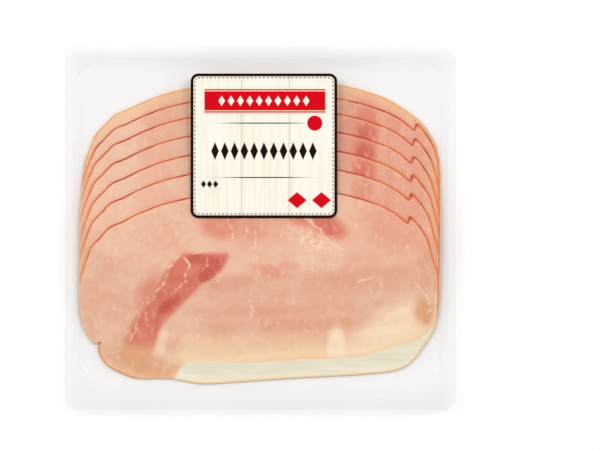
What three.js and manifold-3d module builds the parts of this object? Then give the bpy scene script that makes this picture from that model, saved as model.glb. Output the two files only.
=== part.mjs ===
// A retail pack of sliced cooked ham: seven thin slices, fanned in a shallow clear tray under a clear
// lid film that is sealed to the tray's flange and carries a paper label.
// Millimetres, +Z up. The origin is the centre of the tray's underside, and the label reads along +X.
import * as THREE from "three";
import { mergeVertices } from "three/addons/utils/BufferGeometryUtils.js";
import Module from "manifold-3d";

// Ham slices. Slice 1 lies on the tray floor at the back, and each later one lies a step further forward.
const SLICE_WIDTH = 185.2;
const SLICE_LENGTH = 101.3;
const SLICE_THICKNESS = 1.5;
const SLICE_GAP = 0.2;
const FAN_STEPS = [7.1, 8, 9.5, 9.8, 9.8, 12.1];
const FAN_DRIFT = 1.5;
const FAN_TURN_DEG = 1.2;
const FAN_OFFSET = { x: -0.9, y: -1.4 };
const DRAPE_RAMP = 5;
const OUTLINE_SEGMENTS = 108;

// Tray, formed from one clear sheet. The walls lean out from the floor to the rim by their run.
const SHEET = 0.5;
const SIDE_CLEARANCE = 1.4;
const END_CLEARANCE = 2.2;
const SIDE_RUN = 1.5;
const END_RUN = 5.5;
const HEADROOM = 0.6;
const FLOOR_FILLET = 1;
const FLOOR_CORNER_RADIUS = 17;
const SIDE_FLANGE = 4.5;
const END_FLANGE = 6.5;
const TRAY_CORNERS = { frontLeft: 6, frontRight: 6, backRight: 9, backLeft: 3.5 };

// Lid film and label.
const FILM_THICKNESS = 0.2;
const FILM_GAP = 0.2;
const LABEL_WIDTH = 75;
const LABEL_LENGTH = 74;
const LABEL_THICKNESS = 0.2;
const LABEL_CORNER_RADIUS = 4;
const LABEL_GAP = 0.2;
const LABEL_SHIFT_X = 1.5;
const LABEL_BACK_MARGIN = 7;

const CURVE_SEGMENTS = 8;
const CUT_MARGIN = 2;

// Heights, from the table up.
const sliceCount = FAN_STEPS.length + 1;
const slicePitch = SLICE_THICKNESS + SLICE_GAP;
const stackBase = SHEET + SLICE_GAP;
const rimHeight = stackBase + sliceCount * slicePitch - SLICE_GAP + HEADROOM;
const filmBase = rimHeight + FILM_GAP;
const labelBase = filmBase + FILM_THICKNESS + LABEL_GAP;

// The floor is as large as the fanned slices and their clearance, and the tray grows out from it.
const fanLength = SLICE_LENGTH + FAN_STEPS.reduce((sum, step) => sum + step, 0);
const floor = {
  halfX: SLICE_WIDTH / 2 + SIDE_CLEARANCE,
  halfY: fanLength / 2 + END_CLEARANCE,
};
const rim = { halfX: floor.halfX + SIDE_RUN, halfY: floor.halfY + END_RUN };
const tray = { halfX: rim.halfX + SIDE_FLANGE, halfY: rim.halfY + END_FLANGE };

const wasm = await Module();
wasm.setup();

// One slice's outline, anticlockwise from the middle of its back edge, as shares of the half width and
// the half length. The two short hooks are where the rind folds in over a seam between muscles.
const OUTLINE = [
  [0.02, 1], [-0.38, 0.89], [-0.49, 0.85], [-0.71, 0.69], [-0.855, 0.53], [-0.93, 0.385],
  [-0.97, 0.19], [-0.998, 0.01], [-1, -0.24], [-0.975, -0.445], [-0.918, -0.585], [-0.882, -0.567],
  [-0.893, -0.63], [-0.876, -0.745], [-0.832, -0.83], [-0.77, -0.89], [-0.685, -0.945],
  [-0.5, -0.95], [-0.32, -1], [-0.1, -0.98], [0.23, -0.94], [0.61, -0.9], [0.78, -0.855],
  [0.846, -0.785], [0.918, -0.62], [0.98, -0.425], [1, -0.14], [0.995, 0.16], [0.945, 0.41],
  [0.895, 0.585], [0.84, 0.695], [0.822, 0.63], [0.78, 0.695], [0.725, 0.765], [0.615, 0.85],
  [0.435, 0.94],
];

// A geometry as a solid that can be cut and joined.
function solid(geometry) {
  geometry.deleteAttribute("normal");
  geometry.deleteAttribute("uv");
  const merged = mergeVertices(geometry, 1e-4);
  return new wasm.Manifold(
    new wasm.Mesh({
      numProp: 3,
      vertProperties: merged.attributes.position.array,
      triVerts: new Uint32Array(merged.index.array),
    }),
  );
}

// A solid back as a geometry with flat faces.
function geometryOf(body) {
  const { vertProperties, triVerts } = body.getMesh();
  const indexed = new THREE.BufferGeometry();
  indexed.setAttribute("position", new THREE.BufferAttribute(vertProperties, 3));
  indexed.setIndex(new THREE.BufferAttribute(triVerts, 1));
  const geometry = indexed.toNonIndexed();
  geometry.computeVertexNormals();
  return geometry;
}

// A rectangle about the origin with a radius for each corner.
function roundedRectangle(halfX, halfY, { frontLeft, frontRight, backRight, backLeft }) {
  const quarter = Math.PI / 2;
  const shape = new THREE.Shape();
  shape.absarc(frontLeft - halfX, frontLeft - halfY, frontLeft, -2 * quarter, -quarter);
  shape.absarc(halfX - frontRight, frontRight - halfY, frontRight, -quarter, 0);
  shape.absarc(halfX - backRight, halfY - backRight, backRight, 0, quarter);
  shape.absarc(backLeft - halfX, halfY - backLeft, backLeft, quarter, 2 * quarter);
  return shape;
}

function sameCorners(radius) {
  return { frontLeft: radius, frontRight: radius, backRight: radius, backLeft: radius };
}

// A flat sheet of a shape, from one height up.
function sheetOf(shape, base, thickness) {
  const options = { depth: thickness, bevelEnabled: false, curveSegments: CURVE_SEGMENTS };
  return new THREE.ExtrudeGeometry(shape, options).translate(0, 0, base);
}

// The space inside the tray, or its outside: a pan whose wall rises from the floor's edge through a
// fillet and leans out to its run at the full depth.
function pan(base, depth, fillet, sideRun, endRun, topMargin) {
  const filletSteps = 4;
  const heights = [];
  for (let i = 0; i <= filletSteps; i += 1) {
    heights.push(fillet * (1 - Math.cos((i / filletSteps) * (Math.PI / 2))));
  }
  heights.push(depth + topMargin);
  const outward = (height, run) => {
    const below = Math.max(fillet - height, 0);
    return Math.sqrt(fillet ** 2 - below ** 2) + ((run - fillet) * height) / depth;
  };
  const shape = roundedRectangle(floor.halfX, floor.halfY, sameCorners(FLOOR_CORNER_RADIUS));
  const steps = heights.length - 1;
  const options = { depth: steps, steps, bevelEnabled: false, curveSegments: CURVE_SEGMENTS };
  const geometry = new THREE.ExtrudeGeometry(shape, options);
  const position = geometry.attributes.position;
  for (let i = 0; i < position.count; i += 1) {
    const height = heights[Math.round(position.getZ(i))];
    const growX = 1 + outward(height, sideRun) / floor.halfX;
    const growY = 1 + outward(height, endRun) / floor.halfY;
    position.setXYZ(i, position.getX(i) * growX, position.getY(i) * growY, base + height);
  }
  return geometry;
}

function trayGeometry() {
  const depth = rimHeight - SHEET;
  const skin = solid(pan(0, rimHeight - SHEET / 2, FLOOR_FILLET + SHEET, SIDE_RUN + SHEET, END_RUN + SHEET, 0));
  const outline = roundedRectangle(tray.halfX, tray.halfY, TRAY_CORNERS);
  const flange = solid(sheetOf(outline, rimHeight - SHEET, SHEET));
  const inside = solid(pan(SHEET, depth, FLOOR_FILLET, SIDE_RUN, END_RUN, CUT_MARGIN));
  return geometryOf(skin.add(flange).subtract(inside));
}

// Where slice `index` lies: 0 is the back slice on the floor, and the last one is the front slice.
function slicePlace(index) {
  const behind = (sliceCount - 1 - index) / (sliceCount - 1);
  const forward = FAN_STEPS.slice(0, index).reduce((sum, step) => sum + step, 0);
  return {
    x: FAN_OFFSET.x + FAN_DRIFT * behind,
    y: FAN_OFFSET.y + (fanLength - SLICE_LENGTH) / 2 - forward,
    turn: THREE.MathUtils.degToRad(-FAN_TURN_DEG * behind),
  };
}

function sliceOutline(index) {
  const place = slicePlace(index);
  const corners = OUTLINE.map(
    ([x, y]) => new THREE.Vector3((x * SLICE_WIDTH) / 2, (y * SLICE_LENGTH) / 2, 0),
  );
  const curve = new THREE.CatmullRomCurve3(corners, true, "centripetal");
  const up = new THREE.Vector3(0, 0, 1);
  const shift = new THREE.Vector3(place.x, place.y, 0);
  const points = curve.getSpacedPoints(OUTLINE_SEGMENTS).slice(0, OUTLINE_SEGMENTS);
  return points.map((point) => point.applyAxisAngle(up, place.turn).add(shift));
}

const outlines = FAN_STEPS.concat(0).map((_, index) => sliceOutline(index));
const frontEdges = outlines.map((points) => Math.min(...points.map((point) => point.y)));

// The underside of slice `index` at a distance along Y: it climbs a ramp up onto each slice below it.
function underside(index, y) {
  let height = stackBase;
  for (const front of frontEdges.slice(0, index)) {
    const climbed = THREE.MathUtils.clamp((y - front) / DRAPE_RAMP + 1, 0, 1);
    height += slicePitch * climbed;
  }
  return height;
}

// Every slice bends at the same places, so that no slice cuts through the one it lies on.
function bendPlaces() {
  const places = [-floor.halfY, floor.halfY];
  for (const front of frontEdges) {
    places.push(front - DRAPE_RAMP, front);
  }
  return places.sort((a, b) => a - b);
}

function sliceGeometry(index) {
  const places = bendPlaces();
  const lower = places.map((y) => new THREE.Vector2(y, underside(index, y)));
  const upper = lower.map((point) => new THREE.Vector2(point.x, point.y + SLICE_THICKNESS));
  const profile = new THREE.Shape([...lower, ...upper.reverse()]);
  const across = 2 * floor.halfX;
  const ribbon = new THREE.ExtrudeGeometry(profile, { depth: across, bevelEnabled: false });
  ribbon.rotateY(Math.PI / 2).rotateX(Math.PI / 2).translate(-floor.halfX, 0, 0);
  const outline = new THREE.Shape(outlines[index].map((point) => new THREE.Vector2(point.x, point.y)));
  const cutter = sheetOf(outline, -CUT_MARGIN, rimHeight + 2 * CUT_MARGIN);
  return geometryOf(solid(ribbon).intersect(solid(cutter)));
}

const clearSheet = new THREE.MeshStandardMaterial({
  color: 0xf2f2f2, roughness: 0.12, metalness: 0, transparent: true, opacity: 0.3,
});
const clearFilm = new THREE.MeshStandardMaterial({
  color: 0xf8f8f8, roughness: 0.08, metalness: 0, transparent: true, opacity: 0.15,
});
const labelPaper = new THREE.MeshStandardMaterial({ color: 0xf9f3e6, roughness: 0.5, metalness: 0 });

const pack = new THREE.Group();

function place(name, geometry, material) {
  const mesh = new THREE.Mesh(geometry, material);
  mesh.name = name;
  pack.add(mesh);
}

place("tray", trayGeometry(), clearSheet);
for (let index = 0; index < sliceCount; index += 1) {
  const ham = new THREE.MeshStandardMaterial({ color: 0xe7b69b, roughness: 0.4, metalness: 0 });
  place(`slice_${index + 1}`, sliceGeometry(index), ham);
}
const filmOutline = roundedRectangle(tray.halfX, tray.halfY, TRAY_CORNERS);
place("lid_film", sheetOf(filmOutline, filmBase, FILM_THICKNESS), clearFilm);

const labelOutline = roundedRectangle(LABEL_WIDTH / 2, LABEL_LENGTH / 2, sameCorners(LABEL_CORNER_RADIUS));
const label = sheetOf(labelOutline, labelBase, LABEL_THICKNESS);
label.translate(LABEL_SHIFT_X, rim.halfY - LABEL_BACK_MARGIN - LABEL_LENGTH / 2, 0);
place("label", label, labelPaper);

export default pack;
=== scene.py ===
"""A sealed pack of sliced cooked ham, lying on a pale table: a clear formed tray, seven fanned slices, a
clear lid film and a paper label."""
import math

import bpy
import mathutils
import numpy as np
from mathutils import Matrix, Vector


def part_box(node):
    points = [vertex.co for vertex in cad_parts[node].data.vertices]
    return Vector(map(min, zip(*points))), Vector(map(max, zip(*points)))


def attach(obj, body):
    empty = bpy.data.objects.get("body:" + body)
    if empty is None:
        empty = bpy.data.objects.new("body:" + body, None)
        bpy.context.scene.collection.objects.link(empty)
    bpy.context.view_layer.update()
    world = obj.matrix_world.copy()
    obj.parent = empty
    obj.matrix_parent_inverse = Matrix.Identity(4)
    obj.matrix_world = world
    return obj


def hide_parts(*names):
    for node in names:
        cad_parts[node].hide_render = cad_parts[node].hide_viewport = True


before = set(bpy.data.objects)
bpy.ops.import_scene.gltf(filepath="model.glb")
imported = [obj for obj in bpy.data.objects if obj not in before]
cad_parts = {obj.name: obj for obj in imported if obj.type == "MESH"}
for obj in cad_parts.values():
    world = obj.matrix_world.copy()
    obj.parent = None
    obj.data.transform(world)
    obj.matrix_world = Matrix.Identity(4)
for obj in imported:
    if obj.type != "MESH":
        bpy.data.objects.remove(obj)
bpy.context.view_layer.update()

# --- Tray -------------------------------------------------------------------------------------------
# One sheet of clear plastic, softened by heat and drawn down into a mould, so that its floor, its leaning
# walls and its flat flange are one piece. It is cut out with a larger corner at the back right, where
# the lid film is peeled from.
mm = 0.001
tray_low, tray_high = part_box("tray")
tray_half = (tray_high - tray_low) / 2
tray_sheet = 0.4 * mm
tray_outer_corners = (6 * mm, 6 * mm, 9 * mm, 3.5 * mm)
tray_side_flange = 4.5 * mm
tray_end_flange = 6.5 * mm
tray_side_run = 1.5 * mm
tray_end_run = 5.5 * mm
tray_floor_corner = 17 * mm
tray_floor_fillet = 1.6 * mm
tray_rim_fillet = 0.8 * mm
rim_fillet_steps = 4
floor_fillet_steps = 5
corner_segments = 12


def select_none():
    if bpy.context.object and bpy.context.object.mode != "OBJECT":
        bpy.ops.object.mode_set(mode="OBJECT")
    bpy.ops.object.select_all(action="DESELECT")


def make_active(piece):
    select_none()
    piece.select_set(True)
    bpy.context.view_layer.objects.active = piece


def points_of(piece):
    flat = np.empty(3 * len(piece.data.vertices), dtype=np.float32)
    piece.data.vertices.foreach_get("co", flat)
    return flat.reshape(-1, 3).astype(float)


def move_points(piece, points):
    piece.data.vertices.foreach_set("co", points.astype(np.float32).ravel())
    piece.data.update()


def apply_modifier(piece, kind, **settings):
    make_active(piece)
    added = piece.modifiers.new(kind.title(), kind)
    for name, value in settings.items():
        setattr(added, name, value)
    bpy.ops.object.modifier_apply(modifier=added.name)


def rounded_rectangle(half_x, half_y, radii, segments):
    """Points anticlockwise from the front left corner, `segments` + 1 to each corner."""
    signs = ((-1, -1), (1, -1), (1, 1), (-1, 1))
    points = []
    for corner, ((sign_x, sign_y), radius) in enumerate(zip(signs, radii)):
        for step in range(segments + 1):
            angle = math.pi * (1 + corner / 2 + step / segments / 2)
            x = sign_x * (half_x - radius) + radius * math.cos(angle)
            y = sign_y * (half_y - radius) + radius * math.sin(angle)
            points.append((x, y))
    return np.array(points)


def add_outline(name, outline, height, fill="NGON"):
    """A disc, or a bare ring, with its corners moved onto the outline."""
    select_none()
    bpy.ops.mesh.primitive_circle_add(vertices=len(outline), radius=0.1, fill_type=fill)
    piece = bpy.context.object
    piece.name = name
    piece.data.name = name
    move_points(piece, np.column_stack([outline, np.full(len(outline), height)]))
    return piece


def face_up(piece):
    """Turns every face of an open sheet the same way, with its widest faces upwards."""
    make_active(piece)
    bpy.ops.object.mode_set(mode="EDIT")
    bpy.ops.mesh.select_all(action="SELECT")
    bpy.ops.mesh.normals_make_consistent(inside=False)
    bpy.ops.object.mode_set(mode="OBJECT")
    if sum(face.area * face.normal.z for face in piece.data.polygons) < 0:
        bpy.ops.object.mode_set(mode="EDIT")
        bpy.ops.mesh.flip_normals()
        bpy.ops.object.mode_set(mode="OBJECT")


def draw_in(piece, outline, height):
    """Extrudes the piece's selected ring and sets the new ring of corners on an outline."""
    bpy.ops.object.mode_set(mode="EDIT")
    bpy.ops.mesh.extrude_region_move(TRANSFORM_OT_translate={"value": (0, 0, 0)})
    bpy.ops.object.mode_set(mode="OBJECT")
    points = points_of(piece)
    ring = [vertex.index for vertex in piece.data.vertices if vertex.select]
    points[ring] = np.column_stack([outline, np.full(len(ring), height)])
    move_points(piece, points)


rim_half_x = tray_half.x - tray_side_flange
rim_half_y = tray_half.y - tray_end_flange
tray_top = tray_high.z
tray_outline = rounded_rectangle(tray_half.x, tray_half.y, tray_outer_corners, corner_segments)
tray = add_outline("tray_formed", tray_outline, tray_top, "NOTHING")
make_active(tray)


def wall_rings():
    """Height and outward reach of each ring from the flange's inner edge down to the flat floor."""
    rings = []
    floor_top = tray_sheet
    depth = tray_top - floor_top
    for step in range(rim_fillet_steps + 1):
        angle = step / rim_fillet_steps * math.pi / 2
        drop = tray_rim_fillet * (1 - math.cos(angle))
        out = tray_rim_fillet * (1 - math.sin(angle))
        rings.append((tray_top - drop, 1.0 - drop / depth, out))
    for step in range(floor_fillet_steps + 1):
        angle = (1 - step / floor_fillet_steps) * math.pi / 2
        rise = tray_floor_fillet * (1 - math.cos(angle))
        inward = tray_floor_fillet * (1 - math.sin(angle))
        rings.append((floor_top + rise, rise / depth, -inward))
    return rings


for height, share, reach in wall_rings():
    lean_x = tray_side_run * (share - 1) + reach
    lean_y = tray_end_run * (share - 1) + reach
    corner = tray_floor_corner + reach
    ring = rounded_rectangle(rim_half_x + lean_x, rim_half_y + lean_y, [corner] * 4, corner_segments)
    draw_in(tray, ring, height)
bpy.ops.object.mode_set(mode="EDIT")
bpy.ops.mesh.edge_face_add()
bpy.ops.object.mode_set(mode="OBJECT")
face_up(tray)
apply_modifier(tray, "SOLIDIFY", thickness=tray_sheet, offset=-1, use_even_offset=True)
make_active(tray)
bpy.ops.object.shade_smooth_by_angle(angle=math.radians(40))


def shader(tree, kind, inputs=None, **settings):
    """Adds a node with its settings, and feeds its inputs with other nodes' outputs or with plain values."""
    made = tree.nodes.new(kind)
    for name, value in settings.items():
        setattr(made, name, value)
    for socket, value in (inputs or {}).items():
        if isinstance(value, bpy.types.NodeSocket):
            tree.links.new(value, made.inputs[socket])
        else:
            made.inputs[socket].default_value = value
    return made


def new_material(name):
    material = bpy.data.materials.new(name)
    material.use_nodes = True
    material.node_tree.nodes.clear()
    return material, material.node_tree


def maths(tree, operation, *values, clamped=False):
    inputs = dict(enumerate(values))
    return shader(tree, "ShaderNodeMath", inputs, operation=operation, use_clamp=clamped).outputs[0]


def clear_plastic(name, clearness, rim_clearness, haze, rim_haze, roughness, wave_scale, wave_height):
    """Clear sheet: light goes straight through, with a slight haze, and a soft shine where it slants.

    The rim's clearness and haze hold near the tray's top."""
    material, tree = new_material(name)
    place = shader(tree, "ShaderNodeTexCoord").outputs["Object"]
    waves = shader(tree, "ShaderNodeTexNoise", {"Vector": place, "Scale": wave_scale, "Detail": 2})
    bump = shader(
        tree, "ShaderNodeBump", {"Height": waves.outputs["Fac"], "Distance": wave_height, "Strength": 1}
    ).outputs["Normal"]
    height = shader(tree, "ShaderNodeSeparateXYZ", {0: place}).outputs[2]
    inputs = {"Value": height, "From Min": tray_top - 2 * mm, "From Max": tray_top - 0.5 * mm}
    clearing = inputs | {"To Min": clearness, "To Max": rim_clearness}
    clear = shader(tree, "ShaderNodeMapRange", clearing).outputs[0]
    hazing = inputs | {"To Min": haze, "To Max": rim_haze}
    hazy = shader(tree, "ShaderNodeMapRange", hazing).outputs[0]
    cloudy = shader(tree, "ShaderNodeTexNoise", {"Vector": place, "Scale": 35, "Detail": 2}).outputs["Fac"]
    hazy = maths(tree, "MULTIPLY", hazy, maths(tree, "MULTIPLY", cloudy, 2))
    through = shader(tree, "ShaderNodeBsdfTransparent", {"Color": clear})
    milky = shader(tree, "ShaderNodeBsdfDiffuse", {"Color": (0.86, 0.86, 0.86, 1)})
    body = shader(tree, "ShaderNodeMixShader", {0: hazy, 1: through.outputs[0], 2: milky.outputs[0]})
    inputs = {"Color": (1, 1, 1, 1), "Roughness": roughness, "Normal": bump}
    shine = shader(tree, "ShaderNodeBsdfGlossy", inputs)
    facing = shader(tree, "ShaderNodeLayerWeight", {"Blend": 0.5}).outputs["Facing"]
    share = maths(tree, "MULTIPLY_ADD", maths(tree, "POWER", facing, 4), 0.1, 0.01)
    surface = shader(tree, "ShaderNodeMixShader", {0: share, 1: body.outputs[0], 2: shine.outputs[0]})
    shader(tree, "ShaderNodeOutputMaterial", {"Surface": surface.outputs[0]})
    return material


tray.data.materials.append(
    clear_plastic(
        "clear tray sheet", clearness=0.984, rim_clearness=0.974, haze=0.03, rim_haze=0.08,
        roughness=0.15, wave_scale=60, wave_height=0.0001,
    )
)
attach(tray, "root")
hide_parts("tray")

# --- Slices -----------------------------------------------------------------------------------------
# Seven slices cut across one boned, cured and cooked leg of ham, about 1.5 mm thick, with the thin smoked
# rind still on their edge. Each is laid a step further forward on the last, and sags onto what it covers.
slice_count = 7
slice_thickness = 1.5 * mm
slice_gap = 0.2 * mm
slice_half_width = 92.6 * mm
slice_half_length = 50.65 * mm
slice_turn = math.radians(-1.2)
slice_edge_round = 0.45 * mm
slice_drape = 9 * mm
slice_grid = 1.25 * mm
slice_outline_points = 560
cut_map_width = 200 * mm
# The cut's outline, anticlockwise from the middle of its back edge, in shares of its half width and its
# half length.
slice_corners = (
    (0.02, 1), (-0.38, 0.895), (-0.49, 0.85), (-0.575, 0.803), (-0.691, 0.712), (-0.761, 0.648),
    (-0.82, 0.602), (-0.88, 0.492), (-0.923, 0.41), (-0.946, 0.325), (-0.966, 0.226), (-0.986, 0.12),
    (-0.998, -0.02), (-1, -0.24), (-0.975, -0.445), (-0.93, -0.57), (-0.912, -0.6), (-0.904, -0.598),
    (-0.88, -0.567), (-0.879, -0.572), (-0.893, -0.63), (-0.876, -0.745), (-0.832, -0.83),
    (-0.77, -0.89), (-0.685, -0.945), (-0.5, -0.95), (-0.32, -1), (-0.1, -0.98), (0.23, -0.94),
    (0.61, -0.9), (0.78, -0.855), (0.846, -0.785), (0.918, -0.62), (0.98, -0.425), (1, -0.14),
    (0.997, 0.1), (0.985, 0.19), (0.966, 0.275), (0.954, 0.353), (0.938, 0.452), (0.905, 0.565),
    (0.86, 0.668), (0.843, 0.703), (0.835, 0.708), (0.829, 0.69), (0.826, 0.65), (0.822, 0.636),
    (0.815, 0.645), (0.79, 0.687), (0.758, 0.733), (0.712, 0.782), (0.63, 0.846), (0.435, 0.94),
)


def round_curve(corners, count):
    """`count` evenly spaced points on a smooth closed curve through the corners."""
    corners = np.array(corners)
    fine = []
    for i in range(len(corners)):
        p0, p1, p2, p3 = (corners[(i + k) % len(corners)] for k in (-1, 0, 1, 2))
        knots = [0]
        for a, b in ((p0, p1), (p1, p2), (p2, p3)):
            knots.append(knots[-1] + math.sqrt(np.linalg.norm(b - a)))
        t0, t1, t2, t3 = knots
        for t in np.linspace(t1, t2, 24, endpoint=False):
            a1 = (t1 - t) / (t1 - t0) * p0 + (t - t0) / (t1 - t0) * p1
            a2 = (t2 - t) / (t2 - t1) * p1 + (t - t1) / (t2 - t1) * p2
            a3 = (t3 - t) / (t3 - t2) * p2 + (t - t2) / (t3 - t2) * p3
            b1 = (t2 - t) / (t2 - t0) * a1 + (t - t0) / (t2 - t0) * a2
            b2 = (t3 - t) / (t3 - t1) * a2 + (t - t1) / (t3 - t1) * a3
            fine.append((t2 - t) / (t2 - t1) * b1 + (t - t1) / (t2 - t1) * b2)
    fine = np.array(fine)
    closed = np.vstack([fine, fine[:1]])
    along = np.concatenate([[0], np.cumsum(np.linalg.norm(np.diff(closed, axis=0), axis=1))])
    wanted = np.linspace(0, along[-1], count, endpoint=False)
    return np.column_stack([np.interp(wanted, along, closed[:, k]) for k in (0, 1)])


def distance_inside(points, outline):
    """How far each point is inside the outline, negative outside."""
    along = np.roll(outline, -1, axis=0) - outline
    nearest = np.full(len(points), np.inf)
    inside = np.zeros(len(points), dtype=bool)
    for a, d in zip(outline, along):
        offset = points - a
        share = np.clip(offset @ d / (d @ d), 0, 1)
        gap = offset - share[:, None] * d
        nearest = np.minimum(nearest, np.einsum("ij,ij->i", gap, gap))
        b = a + d
        crosses = (a[1] > points[:, 1]) != (b[1] > points[:, 1])
        if d[1] != 0:
            at = a[0] + (points[:, 1] - a[1]) * d[0] / d[1]
            inside ^= crosses & (points[:, 0] < at)
    return np.where(inside, 1, -1) * np.sqrt(nearest)


slice_outline = round_curve(slice_corners, slice_outline_points) * (slice_half_width, slice_half_length)


def cut_blank():
    """One flat slice, with two rings close to its edge and a fine grid all over."""
    blank = add_outline("slice_blank", slice_outline, 0)
    make_active(blank)
    bpy.ops.object.mode_set(mode="EDIT")
    bpy.ops.mesh.select_all(action="SELECT")
    for ring_width in (0.3 * slice_edge_round, 0.7 * slice_edge_round):
        bpy.ops.mesh.inset(thickness=ring_width, use_even_offset=True)
    for half, axis in ((slice_half_width, (1, 0, 0)), (slice_half_length, (0, 1, 0))):
        cuts = round(2 * half / slice_grid)
        for cut in range(1, cuts):
            across = half * (2 * cut / cuts - 1)
            bpy.ops.mesh.select_all(action="SELECT")
            bpy.ops.mesh.bisect(plane_co=[across * share for share in axis], plane_no=axis)
    bpy.ops.object.mode_set(mode="OBJECT")
    face_up(blank)
    apply_modifier(blank, "SOLIDIFY", thickness=slice_thickness, offset=-1)
    return blank


def keep_on_points(piece, name, values):
    """Stores one number at each point of the piece, for its material to read."""
    kept = piece.data.attributes.new(name, "FLOAT", "POINT")
    kept.data.foreach_set("value", values.astype(np.float32))


def keep_cut_place(piece, points):
    """Gives the piece a UV map that says where in the ham each point was, `cut_map_width` of ham to 1."""
    layer = piece.data.uv_layers.new(name="cut")
    corner_points = np.empty(len(piece.data.loops), dtype=np.int32)
    piece.data.loops.foreach_get("vertex_index", corner_points)
    uv = points[corner_points, :2] / cut_map_width + 0.5
    layer.data.foreach_set("uv", uv.astype(np.float32).ravel())


blank = cut_blank()
blank_points = points_of(blank)
blank_inward = np.maximum(distance_inside(blank_points[:, :2], slice_outline), 0)
keep_on_points(blank, "inward", blank_inward / mm)
keep_cut_place(blank, blank_points)
# Where fat, lean and muscles lie in the cut, in mm from the slice's middle, kept at the slice's points.
cut_across, cut_up = blank_points[:, 0] / mm, blank_points[:, 1] / mm


def eased(share):
    share = np.clip(share, 0, 1)
    return share * share * (3 - 2 * share)


def patch(middle, radii, turn=0.0, strength=1.0, soft=1.2):
    """A soft oval: `strength` inside it, falling to 0 round its edge."""
    cosine, sine = math.cos(turn), math.sin(turn)
    x, y = cut_across - middle[0], cut_up - middle[1]
    away = np.hypot((x * cosine + y * sine) / radii[0], (y * cosine - x * sine) / radii[1])
    return strength * eased((1 + soft / 2 - away) / soft)


def patches(*ovals):
    return np.max([patch(*oval) for oval in ovals], axis=0)


# The upper border of the front fat, as places across and up the cut, and the two sides of the red streak,
# as places up and across it.
fat_border = (
    (-100, -60), (-46, -60), (-43.3, -47), (-41.3, -44), (-39.3, -40.4), (-35.2, -38.3), (-24.9, -38.9),
    (-14.7, -39.7), (-4.5, -39.9), (5.8, -38.9), (21, -38.1), (36.4, -37.6), (49, -36.8), (57, -35.3),
    (67, -32.2), (77.4, -29.2), (82.5, -27.6), (86.6, -24.6), (90, -20), (100, -10),
)
streak_left = (
    (-37, -71), (-31, -68.9), (-25, -66.9), (-20, -64.3), (-14.8, -60.7), (-9.7, -57.2), (-4.6, -54.1),
    (1.5, -50.5), (8.2, -46.4), (12.3, -42.8), (15.8, -38.7), (20, -34),
)
streak_right = (
    (-37, -55.6), (-31.7, -53.6), (-26, -51.5), (-21, -49), (-16.4, -46.4), (-11.3, -41.3), (-7.2, -37.2),
    (-3.6, -34.1), (0.5, -30), (3.1, -24.9), (7.1, -19.8), (12.3, -16.7), (16.9, -14.5), (20, -14),
)
above_fat = cut_up - np.interp(cut_across, *zip(*fat_border))
streak = (
    eased((cut_across - np.interp(cut_up, *zip(*streak_left)) + 5) / 7)
    * eased((np.interp(cut_up, *zip(*streak_right)) - cut_across + 2.2) / 3.4)
    * eased((18.5 - cut_up) / 3)
    * eased((cut_up + 39) / 14)
)
streak_core = streak * patches(
    ((-46, -9.5), (11, 3.8), 0.75, 0.95),
    ((-24.5, 8.5), (11, 5.5), 0.75, 1),
    ((-30, 13.5), (12, 4.5), 0.1, 0.9),
    ((-52, -19), (9, 4.5), 1.1, 0.6),
)
muscle = patches(
    ((-55, -4), (11, 8), 0.9, 0.45),
    ((-37, 0), (9, 5), 0.75, 0.72),
    ((-65, -33), (9, 5), 0.5, 0.4),
    ((-57, -27), (9, 7), 0.9, 0.42),
    ((-19.5, 31), (11.5, 8), 0, 0.5),
    ((-4, 29), (9, 8), 0, 0.3),
    ((35, 31), (11, 6), -0.5, 0.75),
    ((24, 35), (8, 5), 0, 0.6),
    ((6, 7.5), (11, 3.6), -0.25, 0.36),
    ((15, 10.5), (7, 3), -0.1, 0.34),
    ((71, 31), (15, 15), -0.6, 0.32),
    ((-14, -12), (26, 8), 0.05, 0.2),
    ((-16, 1), (14, 5), 0.2, 0.28),
    ((40, 1), (24, 5), 0, 0.12),
    ((28, -20), (40, 5), 0.05, 0.1),
)
keep_on_points(blank, "above_fat", above_fat)
keep_on_points(blank, "muscle", np.max([0.7 * streak, streak_core, muscle], axis=0))
keep_on_points(
    blank, "back_muscle", patches(((52.5, 38), (6.5, 7.5), 0.25), ((46, 40), (13, 10), 0.1, 0.45))
)
keep_on_points(
    blank,
    "pale",
    patches(
        ((-62, 8), (20, 20), 0.4, 0.6, 1.6), ((-28, 26), (13, 9), -0.2, 0.55, 1.6),
        ((14, 16), (28, 7), -0.1, 0.5, 1.6), ((-60, -16), (14, 9), 0, 0.35, 1.6),
        ((55, -8), (26, 8), 0.1, 0.35, 1.6),
    ),
)
keep_on_points(blank, "beige", eased((18 - above_fat) / 16) * eased((cut_across + 54) / 14))
keep_on_points(
    blank,
    "creamy",
    patches(
        ((70, -20), (23, 9), 0.5, 0.75), ((40, -33), (4.6, 12), 0, 0.9, 0.7),
        ((-50.5, -31), (2.6, 12), -0.2, 0.6, 0.9), ((-46.5, -41), (4, 5), 0, 0.6, 1),
    ),
)
keep_on_points(
    blank, "browned", patches(((85, -13), (5, 7), 0.1, 0.9), ((-58, -41), (20, 7), -0.35, 0.7))
)
keep_on_points(blank, "curds", patches(((27, 23.5), (12, 5), -0.3, 1)))
keep_on_points(blank, "hook_tip", patches(((76.7, 35.2), (1.2, 1.5), 0, 1)))

blank_top = blank_points[:, 2] > -slice_thickness / 2


def rounded_height(inward):
    """Heights of the slice's points above its underside, with the top and bottom edges rounded off."""
    edge_share = np.clip(1 - inward / slice_edge_round, 0, 1)
    rounding = slice_edge_round * (1 - np.sqrt(1 - edge_share**2))
    return np.where(blank_top, slice_thickness - rounding, rounding)


blank_points[:, 2] = rounded_height(blank_inward)
move_points(blank, blank_points)

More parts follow.
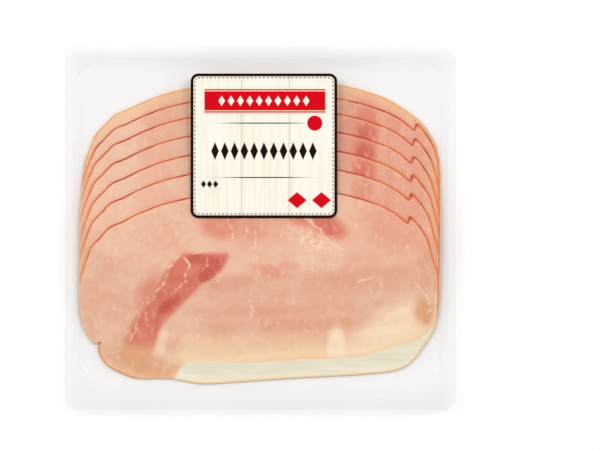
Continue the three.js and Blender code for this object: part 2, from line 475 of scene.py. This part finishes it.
# How far inside a slice's outline every place near it is, on a 1 mm grid, for slices to sag over others.
map_cell = 1 * mm
map_margin = 20 * mm
map_half_x = slice_half_width + map_margin
map_half_y = slice_half_length + map_margin
map_x = np.arange(-map_half_x, map_half_x + map_cell, map_cell)
map_y = np.arange(-map_half_y, map_half_y + map_cell, map_cell)
map_points = np.stack(np.meshgrid(map_x, map_y), axis=-1).reshape(-1, 2)
outline_map = distance_inside(map_points, slice_outline[::2]).reshape(len(map_y), len(map_x))


def inside_at(points):
    """The distance inside one slice's outline at points in that slice's own frame, from the map."""
    column = np.clip((points[:, 0] + map_half_x) / map_cell, 0, len(map_x) - 1.001)
    row = np.clip((points[:, 1] + map_half_y) / map_cell, 0, len(map_y) - 1.001)
    left, low = column.astype(int), row.astype(int)
    right_share, up_share = column - left, row - low
    lower = outline_map[low, left] * (1 - right_share) + outline_map[low, left + 1] * right_share
    upper = outline_map[low + 1, left] * (1 - right_share) + outline_map[low + 1, left + 1] * right_share
    return lower * (1 - up_share) + upper * up_share


def slice_place(number):
    """Centre and turn of a slice in the tray, from the box of its plain solid."""
    turn = slice_turn * (slice_count - number) / (slice_count - 1)
    cosine, sine = math.cos(turn), math.sin(turn)
    turned = slice_outline @ np.array([[cosine, sine], [-sine, cosine]])
    low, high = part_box(f"slice_{number}")
    box_middle = np.array([(low.x + high.x) / 2, (low.y + high.y) / 2])
    return box_middle - (turned.min(axis=0) + turned.max(axis=0)) / 2, turn


def into_tray(points, place, turn):
    cosine, sine = math.cos(turn), math.sin(turn)
    return points @ np.array([[cosine, sine], [-sine, cosine]]) + place


def into_slice(points, place, turn):
    cosine, sine = math.cos(turn), math.sin(turn)
    return (points - place) @ np.array([[cosine, -sine], [sine, cosine]])


slice_places = {number: slice_place(number) for number in range(1, slice_count + 1)}
slice_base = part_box("slice_1")[0].z


def sagged(number, flat):
    """Height of the slice's underside: it lies on the floor, and climbs onto each slice below it."""
    height = np.full(len(flat), slice_base)
    for below in range(1, number):
        inward = inside_at(into_slice(flat, *slice_places[below]))
        height += (slice_thickness + slice_gap) * eased(1 + inward / slice_drape)
    return height


# From slice to slice the leg changes a little: in the lower slices the small hook in the back edge lies
# further out and the side further in, and in the lowest the hook has gone.
hook_out = (1, 1.9, 1.3, 1.0, 0.9, 0.4, 0)
side_in = (0.9, 0.8, 0.6, 0.4, 0.3, 0.1, 0)
to_side = eased((cut_across - 30) / 40)
to_back = eased((cut_up - 4) / 12)
back_edge = slice_outline[slice_outline[:, 1] > 0.2 * slice_half_length] / mm
back_edge = back_edge[np.argsort(back_edge[:, 0])]
smooth_edge = ((66.2, 39.3), (73.5, 34.9), (79.5, 30.4), (83.7, 25.6), (86, 21.9), (88.3, 17.9))
smooth_from, smooth_to = smooth_edge[0][0], smooth_edge[-1][0]
smooth_fade = 8 * mm


def hook_fill(points):
    """How far to move the edge at points, in mm, to leave the back edge smooth."""
    fill = np.interp(points[:, 0], *zip(*smooth_edge)) - np.interp(points[:, 0], *back_edge.T)
    return fill * (points[:, 0] > smooth_from) * (points[:, 0] < smooth_to) * (points[:, 1] > 0)


ham_slices = []
for number in range(1, slice_count + 1):
    make_active(blank)
    bpy.ops.object.duplicate()
    ham = bpy.context.object
    ham.name = f"ham_slice_{number}"
    ham.data.name = ham.name
    points = blank_points.copy()
    if number == 1:
        smooth_outline = slice_outline.copy()
        smooth_outline[:, 1] += hook_fill(slice_outline / mm) * mm
        points[:, 1] += hook_fill(blank_points / mm) * eased(1 - blank_inward / smooth_fade) * mm
        inward = np.maximum(distance_inside(points[:, :2], smooth_outline), 0)
        points[:, 2] = rounded_height(inward)
        ham.data.attributes["inward"].data.foreach_set("value", (inward / mm).astype(np.float32))
        ham.data.attributes["hook_tip"].data.foreach_set("value", np.zeros(len(points), dtype=np.float32))
    drift = (hook_out[number - 1] + side_in[number - 1]) * to_back - side_in[number - 1]
    points[:, 0] += drift * to_side * mm
    points[:, :2] = into_tray(points[:, :2], *slice_places[number])
    points[:, 2] += sagged(number, points[:, :2])
    move_points(ham, points)
    ham_slices.append(ham)
select_none()
bpy.data.objects.remove(blank)


def ink(red, green, blue):
    """A colour as it looks on a screen, 0 to 255, as the shaders want it."""
    def linear(value):
        share = value / 255
        return share / 12.92 if share <= 0.04045 else ((share + 0.055) / 1.055) ** 2.4
    return (linear(red), linear(green), linear(blue), 1)


def ramp(tree, value, low, high):
    """0 at `low` and 1 at `high`, easing in and out, whichever of the two is larger."""
    inputs = {"Value": value, "From Min": low, "From Max": high}
    return shader(tree, "ShaderNodeMapRange", inputs, interpolation_type="SMOOTHSTEP").outputs[0]


def mixed(tree, share, below, above):
    """A colour laid over another by its share."""
    inputs = {0: share, 6: below, 7: above}
    return shader(tree, "ShaderNodeMix", inputs, data_type="RGBA").outputs[2]


def grain(tree, place, size, detail=3, stretch=(1, 1, 1), turn=0, offset=0):
    """Cloudy variation about 0.5, in patches of about `size` mm, longer along the stretched direction."""
    if stretch != (1, 1, 1) or turn or offset:
        inputs = {"Vector": place, "Location": (offset, offset, 0), "Rotation": (0, 0, turn)}
        turned = shader(tree, "ShaderNodeMapping", inputs).outputs[0]
        inputs = {"Vector": turned, "Scale": tuple(1 / part for part in stretch)}
        place = shader(tree, "ShaderNodeMapping", inputs).outputs[0]
    inputs = {"Vector": place, "Scale": 0.5 / size, "Detail": detail}
    return shader(tree, "ShaderNodeTexNoise", inputs).outputs["Fac"]


def kept(tree, name):
    return shader(tree, "ShaderNodeAttribute", attribute_name=name).outputs["Fac"]


def thread_distance(tree, place, points):
    """Distance in mm from a chain of straight stretches."""
    nearest = None
    for (x, y), (next_x, next_y) in zip(points, points[1:]):
        length = math.hypot(next_x - x, next_y - y)
        turn = math.atan2(next_y - y, next_x - x)
        inputs = {"Vector": place, "Location": (x, y, 0), "Rotation": (0, 0, turn)}
        along = shader(tree, "ShaderNodeMapping", inputs, vector_type="TEXTURE").outputs[0]
        above = shader(tree, "ShaderNodeVectorMath", {0: along, 1: (0, 0, 0)}, operation="MAXIMUM").outputs[0]
        onto = shader(tree, "ShaderNodeVectorMath", {0: above, 1: (length, 0, 0)}, operation="MINIMUM")
        inputs = {0: along, 1: onto.outputs[0]}
        away = shader(tree, "ShaderNodeVectorMath", inputs, operation="DISTANCE").outputs["Value"]
        nearest = away if nearest is None else maths(tree, "MINIMUM", nearest, away)
    return nearest


# Each thread of fat in the lean: its width in mm, then the places that it runs through.
fat_threads = (
    (0.55, ((-46.3, 8.7), (-42.4, 12.7), (-40.4, 16), (-37.8, 13.9), (-35.6, 10.7), (-36.2, 7.4),
            (-37.5, 4.8), (-37.2, 2.2), (-39.1, 0.9))),
    (0.4, ((-47, 6.1), (-48.9, 0.9), (-52.2, -3), (-54.8, -6.9), (-57.4, -9.5))),
    (0.45, ((-58, -13.4), (-57.4, -16.7), (-56.7, -21.3))),
    (0.4, ((-62.6, -18), (-63.3, -21.3), (-64.6, -24.5), (-66.5, -27.8))),
    (0.25, ((-33.9, 16), (-29.3, 18.2))),
    (0.25, ((-28.7, 8), (-25.4, 10.7))),
    (0.3, ((-44.4, -3.6), (-39.2, 0.2))),
    (0.5, ((-15.7, 33.8), (-13.6, 29), (-13, 24.5))),
    (0.35, ((-6.5, 29.6), (-7, 24.5))),
    (0.6, ((-1.7, 27.6), (-1.9, 21), (-2, 15.3))),
    (0.8, ((24.2, 34.3), (32, 28.3), (34.7, 24.4), (37.3, 21.8), (42.5, 18.5))),
    (0.8, ((51.6, 2.2), (58.2, 4.8))),
    (0.6, ((79.7, 2.2), (82.3, -1.1), (86.2, -4.9), (87.5, -9.5), (87.4, -14.5))),
    (0.5, ((5.3, 8.4), (7.8, 6.8))),
    (0.5, ((13.1, 8.1), (11.2, 4.8))),
    (0.5, ((-4.5, -8), (-3.6, -13), (-4.2, -16))),
    (0.4, ((-72, -33.6), (-78, -34.8))),
)
back_muscle_strength = (0.45, 0.55, 0.75, 0.8, 0.7, 0.4, 0)
outer_fat_width = (9, 1.8, 1.8, 1.8, 1.8, 1.8, 1.8)
cut_to_cut = 1.7


def ham_finish():
    material, tree = new_material("ham cut")
    uv = shader(tree, "ShaderNodeUVMap", uv_map="cut").outputs[0]
    wide = cut_map_width / mm
    inputs = {"Vector": uv, "Location": (-wide / 2, -wide / 2, 0), "Scale": (wide, wide, 0)}
    exact = shader(tree, "ShaderNodeMapping", inputs).outputs[0]
    deep = shader(tree, "ShaderNodeMapping", {"Vector": exact}, name="depth of cut").outputs[0]
    wander = shader(tree, "ShaderNodeTexNoise", {"Vector": deep, "Scale": 0.22, "Detail": 3}).outputs["Color"]
    inputs = {0: wander, 1: (0.5, 0.5, 0.5)}
    wander = shader(tree, "ShaderNodeVectorMath", inputs, operation="SUBTRACT").outputs[0]
    inputs = {0: wander, 1: (4, 4, 0), 2: exact}
    loose = shader(tree, "ShaderNodeVectorMath", inputs, operation="MULTIPLY_ADD").outputs[0]
    parts = shader(tree, "ShaderNodeSeparateXYZ", {0: loose})
    across, up = parts.outputs[0], parts.outputs[1]

    # Lean meat: cured pink, cloudy, with a faint grain.
    clouds = grain(tree, deep, 14, 4)
    spots = grain(tree, deep, 3.2, 4, offset=31)
    fibres = grain(tree, deep, 1.6, 3, stretch=(5, 1, 1), turn=0.35, offset=57)
    lean = mixed(tree, ramp(tree, clouds, 0.36, 0.64), ink(230, 184, 155), ink(225, 165, 135))
    lean = mixed(tree, maths(tree, "MULTIPLY", ramp(tree, spots, 0.5, 0.75), 0.35), lean, ink(237, 198, 170))
    lean = mixed(tree, maths(tree, "MULTIPLY", ramp(tree, fibres, 0.5, 0.75), 0.3), lean, ink(222, 155, 128))

    drift = grain(tree, deep, 6, 3, offset=19)
    pale = maths(tree, "MULTIPLY", kept(tree, "pale"), ramp(tree, drift, 0.2, 0.6))
    lean = mixed(tree, pale, lean, ink(232, 194, 166))

    # Darker muscles.
    inputs = {0: kept(tree, "back_muscle"), 1: 1}
    back_muscle = shader(
        tree, "ShaderNodeMath", inputs, operation="MULTIPLY", name="strength of back muscle"
    ).outputs[0]
    red = maths(tree, "MAXIMUM", kept(tree, "muscle"), back_muscle)
    uneven = maths(tree, "MULTIPLY_ADD", drift, 0.5, maths(tree, "MULTIPLY_ADD", spots, 0.35, 0.58))
    red = maths(tree, "MULTIPLY", red, uneven)
    lean = mixed(tree, ramp(tree, red, 0, 0.7), lean, ink(218, 123, 98))
    lean = mixed(tree, ramp(tree, red, 0.55, 1.0), lean, ink(194, 82, 66))

    # Pale fat: the wide band along the front, the yellowish meat next to it, pale stripes and threads.
    over_border = maths(tree, "MULTIPLY_ADD", drift, 2.4, maths(tree, "ADD", kept(tree, "above_fat"), -1.2))
    lean = mixed(tree, kept(tree, "beige"), lean, ink(241, 205, 165))
    creamy = maths(tree, "MULTIPLY", kept(tree, "creamy"), maths(tree, "MULTIPLY_ADD", spots, 0.5, 0.75))
    lean = mixed(tree, creamy, lean, ink(247, 223, 192))
    spotty = maths(tree, "MULTIPLY_ADD", spots, 2, 0.2)
    browned = maths(tree, "MULTIPLY", kept(tree, "browned"), spotty, clamped=True)
    lean = mixed(tree, browned, lean, ink(219, 160, 116))
    fine_wander = grain(tree, deep, 0.9, 2, offset=11)
    threads = None
    for width, points in fat_threads:
        away = maths(tree, "SUBTRACT", thread_distance(tree, loose, points), 0.5 * width)
        threads = away if threads is None else maths(tree, "MINIMUM", threads, away)
    threads = maths(tree, "MULTIPLY_ADD", fine_wander, 2.6, maths(tree, "SUBTRACT", threads, 1.25))
    threads = maths(tree, "MULTIPLY", ramp(tree, threads, 0.45, -0.25), ramp(tree, fibres, 0.22, 0.5))
    lean = mixed(tree, maths(tree, "MULTIPLY", threads, 0.7), lean, ink(240, 206, 175))
    curds = maths(tree, "MULTIPLY", kept(tree, "curds"), ramp(tree, fine_wander, 0.36, 0.64))
    lean = mixed(tree, maths(tree, "MULTIPLY", curds, 0.65), lean, ink(243, 211, 181))
    flecks = grain(tree, deep, 1.1, 3, stretch=(1, 2.2, 1), offset=83)
    flecked = maths(tree, "MULTIPLY", ramp(tree, flecks, 0.54, 0.74), 0.3)
    lean = mixed(tree, flecked, lean, ink(245, 212, 184))
    shreds = grain(tree, deep, 0.7, 2, stretch=(2.5, 1, 1), turn=-0.6, offset=97)
    lean = mixed(tree, maths(tree, "MULTIPLY", ramp(tree, shreds, 0.52, 0.7), 0.12), lean, ink(214, 138, 110))
    at_border = ramp(tree, maths(tree, "ABSOLUTE", maths(tree, "SUBTRACT", over_border, 0.7)), 1.1, 0.2)
    at_border = maths(tree, "MULTIPLY", at_border, ramp(tree, clouds, 0.4, 0.6))
    lean = mixed(tree, maths(tree, "MULTIPLY", at_border, 0.4), lean, ink(240, 192, 138))
    fat_streaks = grain(tree, deep, 1.4, 3, stretch=(8, 1, 1), turn=0.02, offset=3)
    fat = mixed(tree, ramp(tree, fat_streaks, 0.35, 0.65), ink(235, 227, 205), ink(227, 218, 193))
    cut_colour = mixed(tree, ramp(tree, over_border, 0.6, -0.6), lean, fat)

    # The edge: a little outer fat, then the smoked rind.
    inward = kept(tree, "inward")
    inputs = {0: inward, 1: 1}
    reach = shader(tree, "ShaderNodeMath", inputs, operation="DIVIDE", name="width of outer fat").outputs[0]
    outer_fat = maths(tree, "MULTIPLY", ramp(tree, reach, 1, 0.2), 0.5)
    cut_colour = mixed(tree, outer_fat, cut_colour, ink(238, 196, 150))
    rind_width = maths(tree, "MULTIPLY_ADD", grain(tree, deep, 2.5, 2, offset=5), 1.0, 0.35)
    wider = maths(tree, "MULTIPLY", ramp(tree, across, 84, 91), ramp(tree, up, -5, 10))
    rind_width = maths(tree, "MULTIPLY_ADD", wider, 0.35, rind_width)
    smoked = ramp(tree, up, -6, 6)
    to_right = maths(tree, "MULTIPLY", ramp(tree, across, 60, 84), ramp(tree, up, -24, -6))
    to_left = maths(tree, "MULTIPLY", ramp(tree, across, -60, -64), ramp(tree, up, -26, -32))
    smoked = maths(tree, "MAXIMUM", smoked, to_right)
    still_on = maths(tree, "MAXIMUM", maths(tree, "MAXIMUM", smoked, to_left), ramp(tree, across, -50, -30))
    rind_share = ramp(tree, maths(tree, "SUBTRACT", inward, rind_width), 0.2, -0.2)
    rind_share = maths(tree, "MULTIPLY", rind_share, still_on)
    smoke_tone = grain(tree, deep, 9, 2, offset=71)
    rind = mixed(tree, ramp(tree, smoke_tone, 0.35, 0.65), ink(216, 96, 36), ink(180, 50, 22))
    at_side = ramp(tree, maths(tree, "ABSOLUTE", across), 83, 91)
    rind = mixed(tree, maths(tree, "MULTIPLY", at_side, 0.85), rind, ink(240, 140, 66))
    rind = mixed(tree, smoked, ink(237, 203, 156), rind)
    rind = mixed(tree, to_left, rind, ink(233, 150, 76))
    inputs = {0: 0, 6: rind, 7: ink(240, 186, 118)}
    rind = shader(tree, "ShaderNodeMix", inputs, data_type="RGBA", name="paleness of rind").outputs[2]
    cut_colour = mixed(tree, rind_share, cut_colour, rind)
    cut_colour = mixed(tree, kept(tree, "hook_tip"), cut_colour, ink(176, 52, 34))

    relief = maths(tree, "ADD", maths(tree, "MULTIPLY", fibres, 0.6), maths(tree, "MULTIPLY", spots, 0.5))
    bump = shader(tree, "ShaderNodeBump", {"Height": relief, "Distance": 0.0003, "Strength": 0.5}).outputs[0]
    roughness = maths(tree, "MULTIPLY_ADD", spots, 0.25, 0.33)
    inputs = {"Base Color": cut_colour, "Roughness": roughness, "Specular IOR Level": 0.3, "Normal": bump}
    surface = shader(tree, "ShaderNodeBsdfPrincipled", inputs)
    shader(tree, "ShaderNodeOutputMaterial", {"Surface": surface.outputs[0]})
    return material


first_finish = ham_finish()
for number, ham in zip(range(1, slice_count + 1), ham_slices):
    finish = first_finish if number == 1 else first_finish.copy()
    nodes = finish.node_tree.nodes
    nodes["depth of cut"].inputs["Location"].default_value = (0, 0, cut_to_cut * number)
    nodes["strength of back muscle"].inputs[1].default_value = back_muscle_strength[number - 1]
    nodes["width of outer fat"].inputs[1].default_value = outer_fat_width[number - 1]
    nodes["paleness of rind"].inputs[0].default_value = 0.75 if number == 1 else 0
    make_active(ham)
    bpy.ops.object.shade_smooth_by_angle(angle=math.radians(50))
    ham.data.materials.append(finish)
    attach(ham, "root")
    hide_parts(f"slice_{number}")

# --- Lid film ---------------------------------------------------------------------------------------
# A thin clear film, drawn tight over the filled tray and heat-sealed to its flange all round. It is cut out
# together with the tray, so it has the tray's outline.
film_thickness = 0.08 * mm
film_gap = 0.02 * mm
film = add_outline("lid_film_sealed", tray_outline, tray_top + film_gap + film_thickness)
face_up(film)
apply_modifier(film, "SOLIDIFY", thickness=film_thickness, offset=-1)
film.data.materials.append(
    clear_plastic(
        "clear lid film", clearness=0.996, rim_clearness=0.996, haze=0.001, rim_haze=0.001,
        roughness=0.1, wave_scale=30, wave_height=0.00015,
    )
)
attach(film, "root")
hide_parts("lid_film")

# --- Label ------------------------------------------------------------------------------------------
# A square of printed paper with rounded corners, stuck on the film over the back of the slices. Its print is
# plain: boards, rules, a band, a dot and lozenges inside a stitched line and a dark border.
label_low, label_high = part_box("label")
label_thickness = 0.12 * mm
label_corner = 4 * mm
label_lift = 0.2 * mm
label_shift = mathutils.Vector((0.25, -0.4, 0)) * mm
label_middle = (label_low + label_high) / 2 + label_shift
label_half = (label_high - label_low) / 2
label_outline = rounded_rectangle(label_half.x, label_half.y, [label_corner] * 4, corner_segments)
label = add_outline(
    "label_printed",
    label_outline + (label_middle.x, label_middle.y),
    tray_top + label_lift + label_thickness,
)
face_up(label)
apply_modifier(label, "SOLIDIFY", thickness=label_thickness, offset=-1)


def box_mask(tree, across, up, middle, half, soft=0.12):
    """1 inside a plain rectangle and 0 outside it, all in mm."""
    sides = []
    for value, centre, reach in ((across, middle[0], half[0]), (up, middle[1], half[1])):
        away = maths(tree, "ABSOLUTE", maths(tree, "SUBTRACT", value, centre))
        sides.append(ramp(tree, away, reach + soft, reach - soft))
    return maths(tree, "MULTIPLY", *sides)


def lozenge_row(tree, across, up, count, pitch, height, half_width, half_height):
    """A row of upright lozenges, in mm, with its middle where `across` is 0."""
    shifted = maths(tree, "ADD", across, pitch / 2 * (count % 2))
    within = maths(tree, "SUBTRACT", maths(tree, "FLOORED_MODULO", shifted, pitch), pitch / 2)
    wide = maths(tree, "DIVIDE", maths(tree, "ABSOLUTE", within), half_width)
    away = maths(tree, "ABSOLUTE", maths(tree, "SUBTRACT", up, height))
    tall = maths(tree, "DIVIDE", away, half_height)
    inside = ramp(tree, maths(tree, "ADD", wide, tall), 1.1, 0.9)
    in_row = maths(tree, "LESS_THAN", maths(tree, "ABSOLUTE", across), count * pitch / 2)
    return maths(tree, "MULTIPLY", inside, in_row)


def label_print():
    material, tree = new_material("label print")
    place = shader(tree, "ShaderNodeTexCoord").outputs["Object"]
    middle = (-label_middle.x / mm, -label_middle.y / mm, 0)
    inputs = {"Vector": place, "Location": middle, "Scale": (1 / mm, 1 / mm, 0)}
    place = shader(tree, "ShaderNodeMapping", inputs).outputs[0]
    parts = shader(tree, "ShaderNodeSeparateXYZ", {0: place})
    across, up = parts.outputs[0], parts.outputs[1]

    # Whitewashed boards, with two joints between them.
    streaks = grain(tree, place, 1.1, 3, stretch=(1, 14, 1))
    wash = grain(tree, place, 9, 2, stretch=(1, 3, 1), offset=40)
    board = mixed(tree, ramp(tree, streaks, 0.35, 0.7), ink(244, 239, 226), ink(237, 228, 211))
    board = mixed(tree, maths(tree, "MULTIPLY", ramp(tree, wash, 0.4, 0.65), 0.6), board, ink(245, 241, 230))
    for joint in (-11.6, 12.9):
        past = maths(tree, "SUBTRACT", across, joint)
        away = maths(tree, "ABSOLUTE", past)
        line = maths(tree, "MULTIPLY", ramp(tree, away, 0.35, 0.08), 0.75)
        board = mixed(tree, line, board, ink(196, 186, 170))
        shade = maths(tree, "MULTIPLY", ramp(tree, past, 2.2, 0), maths(tree, "GREATER_THAN", past, 0))
        board = mixed(tree, maths(tree, "MULTIPLY", shade, 0.35), board, ink(214, 204, 188))

    # Distance in from the label's rounded edge.
    round_corner = label_corner / mm
    corner = (label_half.x / mm - round_corner, label_half.y / mm - round_corner, 0)
    absolute = shader(tree, "ShaderNodeVectorMath", {0: place}, operation="ABSOLUTE").outputs[0]
    inputs = {0: absolute, 1: corner}
    past = shader(tree, "ShaderNodeVectorMath", inputs, operation="SUBTRACT").outputs[0]
    outside = shader(tree, "ShaderNodeVectorMath", {0: past, 1: (0, 0, 0)}, operation="MAXIMUM").outputs[0]
    reach = shader(tree, "ShaderNodeVectorMath", {0: outside}, operation="LENGTH").outputs["Value"]
    edge = maths(tree, "SUBTRACT", round_corner, reach)

    # Plain ornaments: two tapering rules, a red band, a red dot and rows of lozenges.
    dark = ink(32, 19, 14)
    red = ink(209, 12, 27)
    printed = board
    for height in (11.6, -16.2):
        taper = ramp(tree, maths(tree, "ABSOLUTE", across), 33, 8)
        away = maths(tree, "ABSOLUTE", maths(tree, "SUBTRACT", up, height))
        thickness = maths(tree, "MULTIPLY_ADD", taper, 0.2, 0.08)
        line = ramp(tree, maths(tree, "SUBTRACT", away, thickness), 0.12, -0.12)
        printed = mixed(tree, maths(tree, "MULTIPLY", line, taper), printed, dark)
    shadow = maths(tree, "MULTIPLY", box_mask(tree, across, up, (0.5, 22.6), (31.2, 6.2), 1.2), 0.35)
    printed = mixed(tree, shadow, printed, ink(150, 120, 105))
    printed = mixed(tree, box_mask(tree, across, up, (0.5, 23), (30.9, 6)), printed, red)
    for height in (28.1, 17.9):
        pinstripe = box_mask(tree, across, up, (0.5, height), (30.9, 0.25))
        printed = mixed(tree, pinstripe, printed, ink(240, 205, 170))
    row = lozenge_row(tree, across, up, 10, 4.8, 23, 1.7, 2.6)
    printed = mixed(tree, row, printed, ink(238, 233, 219))
    from_middle = maths(tree, "SUBTRACT", across, 23.2)
    row = lozenge_row(tree, from_middle, up, 2, 12.5, -27.8, 5, 4.2)
    printed = mixed(tree, row, printed, red)
    from_middle = maths(tree, "SUBTRACT", across, -27.8)
    row = lozenge_row(tree, from_middle, up, 3, 3.1, -19.6, 1.35, 1.9)
    printed = mixed(tree, row, printed, dark)
    inputs = {0: place, 1: (26, 11.6, 0)}
    away = shader(tree, "ShaderNodeVectorMath", inputs, operation="DISTANCE").outputs["Value"]
    printed = mixed(tree, ramp(tree, away, 4.9, 4.7), printed, ink(243, 239, 227))
    printed = mixed(tree, ramp(tree, away, 4.0, 3.8), printed, red)
    row = lozenge_row(tree, across, up, 11, 5, -2.7, 2, 4.6)
    printed = mixed(tree, row, printed, dark)

    # The stitched line and the dark border round the edge.
    stitch_pitch = 2.08
    stitch_inset = 2.15
    parts = shader(tree, "ShaderNodeSeparateXYZ", {0: absolute})
    run = maths(tree, "SUBTRACT", parts.outputs[0], parts.outputs[1])
    stitch = maths(tree, "SINE", maths(tree, "MULTIPLY", run, math.tau / stitch_pitch))
    stitch = ramp(tree, stitch, -0.35, 0.35)
    from_line = maths(tree, "ABSOLUTE", maths(tree, "SUBTRACT", edge, stitch_inset))
    on_line = ramp(tree, from_line, 0.34, 0.2)
    printed = mixed(tree, maths(tree, "MULTIPLY", on_line, stitch), printed, ink(58, 48, 42))
    printed = mixed(tree, ramp(tree, edge, 1.6, 1.4), printed, dark)

    inputs = {"Height": streaks, "Distance": 0.00002, "Strength": 0.4}
    bump = shader(tree, "ShaderNodeBump", inputs).outputs[0]
    rough = maths(tree, "MULTIPLY_ADD", streaks, 0.2, 0.35)
    matt = shader(tree, "ShaderNodeBsdfDiffuse", {"Color": printed, "Normal": bump}).outputs[0]
    shine = shader(tree, "ShaderNodeBsdfGlossy", {"Roughness": rough, "Normal": bump}).outputs[0]
    slant = shader(tree, "ShaderNodeLayerWeight", {"Blend": 0.5}).outputs["Facing"]
    share = maths(tree, "MULTIPLY", maths(tree, "POWER", slant, 3), 0.3)
    surface = shader(tree, "ShaderNodeMixShader", {0: share, 1: matt, 2: shine})
    shader(tree, "ShaderNodeOutputMaterial", {"Surface": surface.outputs[0]})
    return material


label.data.materials.append(label_print())
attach(label, "root")
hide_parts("label")

# --- Table, light and camera ------------------------------------------------------------------------
# A plain white table in an even white room, two square soft lights high up behind the pack to its left and
# right, two wider and weaker ones lower down at its sides, and a camera straight above.
table_size = 6
table_gap = 0.05 * mm


def place_in_mesh(piece):
    """Puts the piece's place and turn into its mesh, so that its object sits at the origin."""
    make_active(piece)
    bpy.ops.object.transform_apply(location=True, rotation=True, scale=True)


select_none()
bpy.ops.mesh.primitive_plane_add(size=table_size, location=(0, 0, -table_gap))
table = bpy.context.object
table.name = "table"
place_in_mesh(table)
table_white, tree = new_material("table white")
surface = shader(tree, "ShaderNodeBsdfDiffuse", {"Color": (0.95, 0.95, 0.95, 1)})
shader(tree, "ShaderNodeOutputMaterial", {"Surface": surface.outputs[0]})
table.data.materials.append(table_white)

room = bpy.data.worlds.new("white room")
bpy.context.scene.world = room
room.use_nodes = True
room.node_tree.nodes["Background"].inputs["Color"].default_value = (1, 1, 1, 1)
room.node_tree.nodes["Background"].inputs["Strength"].default_value = 0.565

for place, size, power in (
    ((-0.62, 0.42, 1.9), 0.45, 9.4),
    ((0.62, 0.42, 1.9), 0.45, 8.9),
    ((-1.1, 0.5, 0.9), 0.9, 2.8),
    ((1.1, 0.5, 0.9), 0.9, 2.8),
):
    bpy.ops.object.light_add(type="AREA", location=place)
    softbox = bpy.context.object
    softbox.data.shape = "SQUARE"
    softbox.data.size = size
    softbox.data.energy = power
    softbox.rotation_euler = (-mathutils.Vector(place)).to_track_quat("-Z", "Y").to_euler()

camera_height = 1.6
view_width = 0.3069
view_centre = (20.2 * mm, 1.6 * mm)
bpy.ops.object.camera_add(location=(*view_centre, camera_height), rotation=(0, 0, 0))
camera = bpy.context.object
camera.data.sensor_width = 36
camera.data.lens = camera.data.sensor_width * (camera_height - tray_top) / view_width
camera.data.clip_end = 10
bpy.context.scene.camera = camera
bpy.context.scene.view_settings.view_transform = "Standard"
bpy.context.scene.cycles.transparent_max_bounces = 64
